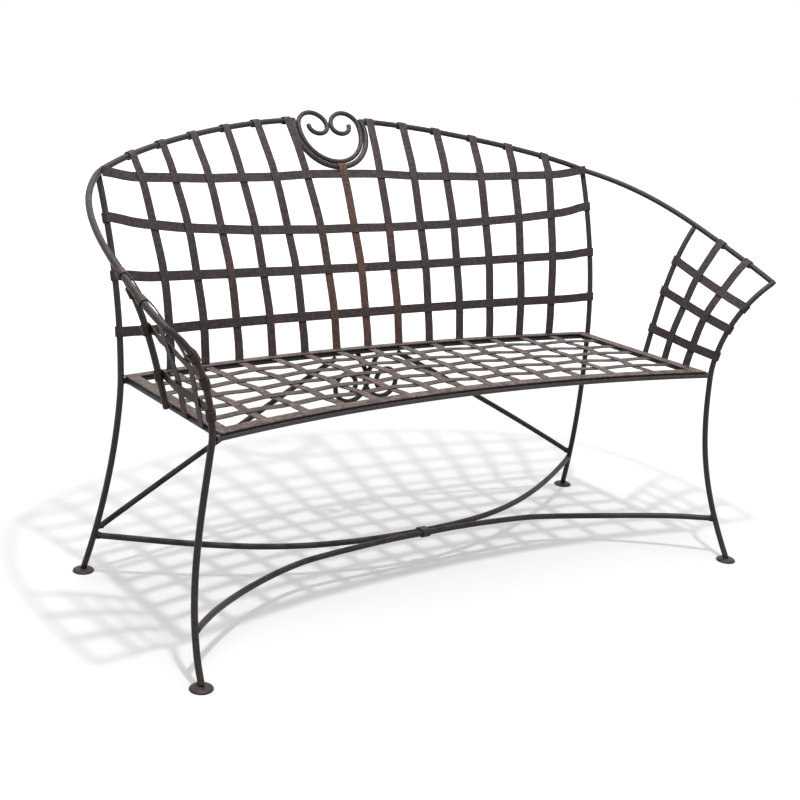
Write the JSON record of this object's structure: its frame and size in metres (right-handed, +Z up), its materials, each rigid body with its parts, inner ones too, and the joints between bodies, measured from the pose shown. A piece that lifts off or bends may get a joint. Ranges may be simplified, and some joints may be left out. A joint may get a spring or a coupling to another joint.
{
  "type": "iron garden bench",
  "caption": "Garden bench of round iron bar with a woven strap seat and back, rails that sweep down into flared arms, and a scroll crest",
  "frame": {"origin": "on the ground, under the middle of the whole bench", "axes": "+X runs along the bench, to the right as seen from its front; -Y is the front, where the sitter faces; +Z is up"},
  "size_m": [1.5038, 0.8068, 0.9313],
  "materials": {
    "bars": "dark brown rust patina, dull satin",
    "back_straps": "dark brown rust patina with redder patches, dull satin",
    "seat_straps": "grey brown rust patina, dull satin",
    "scrolls": "near black patina, dull satin",
    "feet": "dark brown rust patina, dull satin"
  },
  "bodies": {
    "root": {"front_left_leg": "bars", "front_right_leg": "bars", "rear_left_leg": "bars", "rear_right_leg": "bars", "front_left_foot": "feet", "front_right_foot": "feet", "rear_left_foot": "feet", "rear_right_foot": "feet", "front_seat_bar": "bars", "rear_seat_bar": "bars", "left_seat_bar": "bars", "right_seat_bar": "bars", "front_seat_flat": "seat_straps", "rear_seat_flat": "seat_straps", "left_seat_flat": "seat_straps", "right_seat_flat": "seat_straps", "left_top_rail": "bars", "right_top_rail": "bars", "crest_loop": "bars", "crest_scroll": "scrolls", "left_arm_post": "bars", "right_arm_post": "bars", "left_arm_uprights": "back_straps", "right_arm_uprights": "back_straps", "left_arm_crosses": "back_straps", "right_arm_crosses": "back_straps", "front_stretcher": "bars", "rear_stretcher": "bars", "stretcher_collar": "bars", "left_brace": "scrolls", "right_brace": "scrolls", "seat_scrolls": "scrolls", "back_upright_1": "back_straps", "back_upright_2": "back_straps", "back_upright_3": "back_straps", "back_upright_4": "back_straps", "back_upright_5": "back_straps", "back_upright_6": "back_straps", "back_upright_7": "back_straps", "back_upright_8": "back_straps", "back_upright_9": "back_straps", "back_upright_10": "back_straps", "back_upright_11": "back_straps", "back_upright_12": "back_straps", "back_upright_13": "back_straps", "back_level_1": "back_straps", "back_level_2": "back_straps", "back_level_3": "back_straps", "back_level_4": "back_straps", "seat_long_straps_1": "seat_straps", "seat_long_straps_2": "seat_straps", "seat_long_straps_3": "seat_straps", "seat_cross_straps_1": "seat_straps", "seat_cross_straps_2": "seat_straps", "seat_cross_straps_3": "seat_straps", "seat_cross_straps_4": "seat_straps", "seat_cross_straps_5": "seat_straps", "seat_cross_straps_6": "seat_straps", "seat_cross_straps_7": "seat_straps"}
  },
  "joints": []
}
